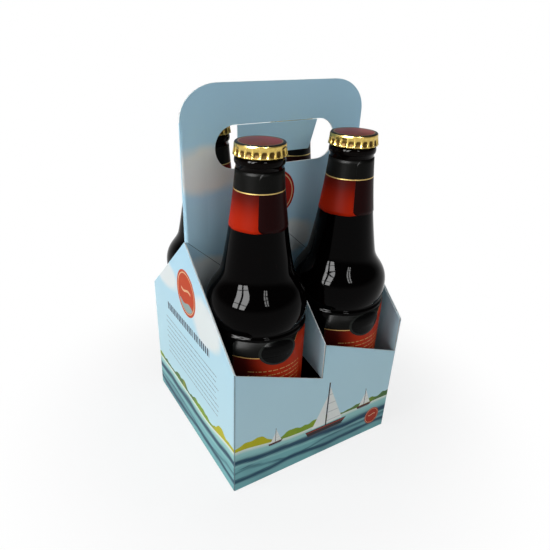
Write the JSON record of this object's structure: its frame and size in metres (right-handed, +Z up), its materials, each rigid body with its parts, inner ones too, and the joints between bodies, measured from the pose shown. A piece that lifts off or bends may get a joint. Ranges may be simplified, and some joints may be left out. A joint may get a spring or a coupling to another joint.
{
  "type": "bottle carrier box",
  "caption": "Open carton carrier with gabled sides, cell straps, a tall handle with a fold-back hand hole flap, and capped beer bottles standing in its cells.",
  "frame": {"origin": "centre of the carton's base, on the surface it stands on", "axes": "+Z up along the handle, +X to the right along the front wall, +Y to the back"},
  "size_m": [0.125, 0.1266, 0.2337],
  "materials": {
    "printed_board": "matt print",
    "brown_glass": "gloss",
    "beer": "clear liquid",
    "cap_gold": "lacquered",
    "cap_liner": "soft",
    "label_paper": "satin print"
  },
  "bodies": {
    "carrier": {"carton": "printed_board", "glass_bottle_front_left": "brown_glass", "beer_front_left": "beer", "crown_cap_front_left": "cap_gold", "cap_liner_front_left": "cap_liner", "neck_label_front_left": "label_paper", "body_label_front_left": "label_paper", "glass_bottle_front_right": "brown_glass", "beer_front_right": "beer", "crown_cap_front_right": "cap_gold", "cap_liner_front_right": "cap_liner", "neck_label_front_right": "label_paper", "body_label_front_right": "label_paper", "glass_bottle_back_left": "brown_glass", "beer_back_left": "beer", "crown_cap_back_left": "cap_gold", "cap_liner_back_left": "cap_liner", "neck_label_back_left": "label_paper", "body_label_back_left": "label_paper", "glass_bottle_back_right": "brown_glass", "beer_back_right": "beer", "crown_cap_back_right": "cap_gold", "cap_liner_back_right": "cap_liner", "neck_label_back_right": "label_paper", "body_label_back_right": "label_paper"},
    "flap": {"hand_hole_flap": "printed_board"}
  },
  "joints": [
    {"name": "flap_crease", "type": "hinge", "parent": "carrier", "child": "flap", "pos_m": [0, -0.00028, 0.21113], "axis": [1, 0, 0], "range_deg": [-12, 78]}
  ]
}
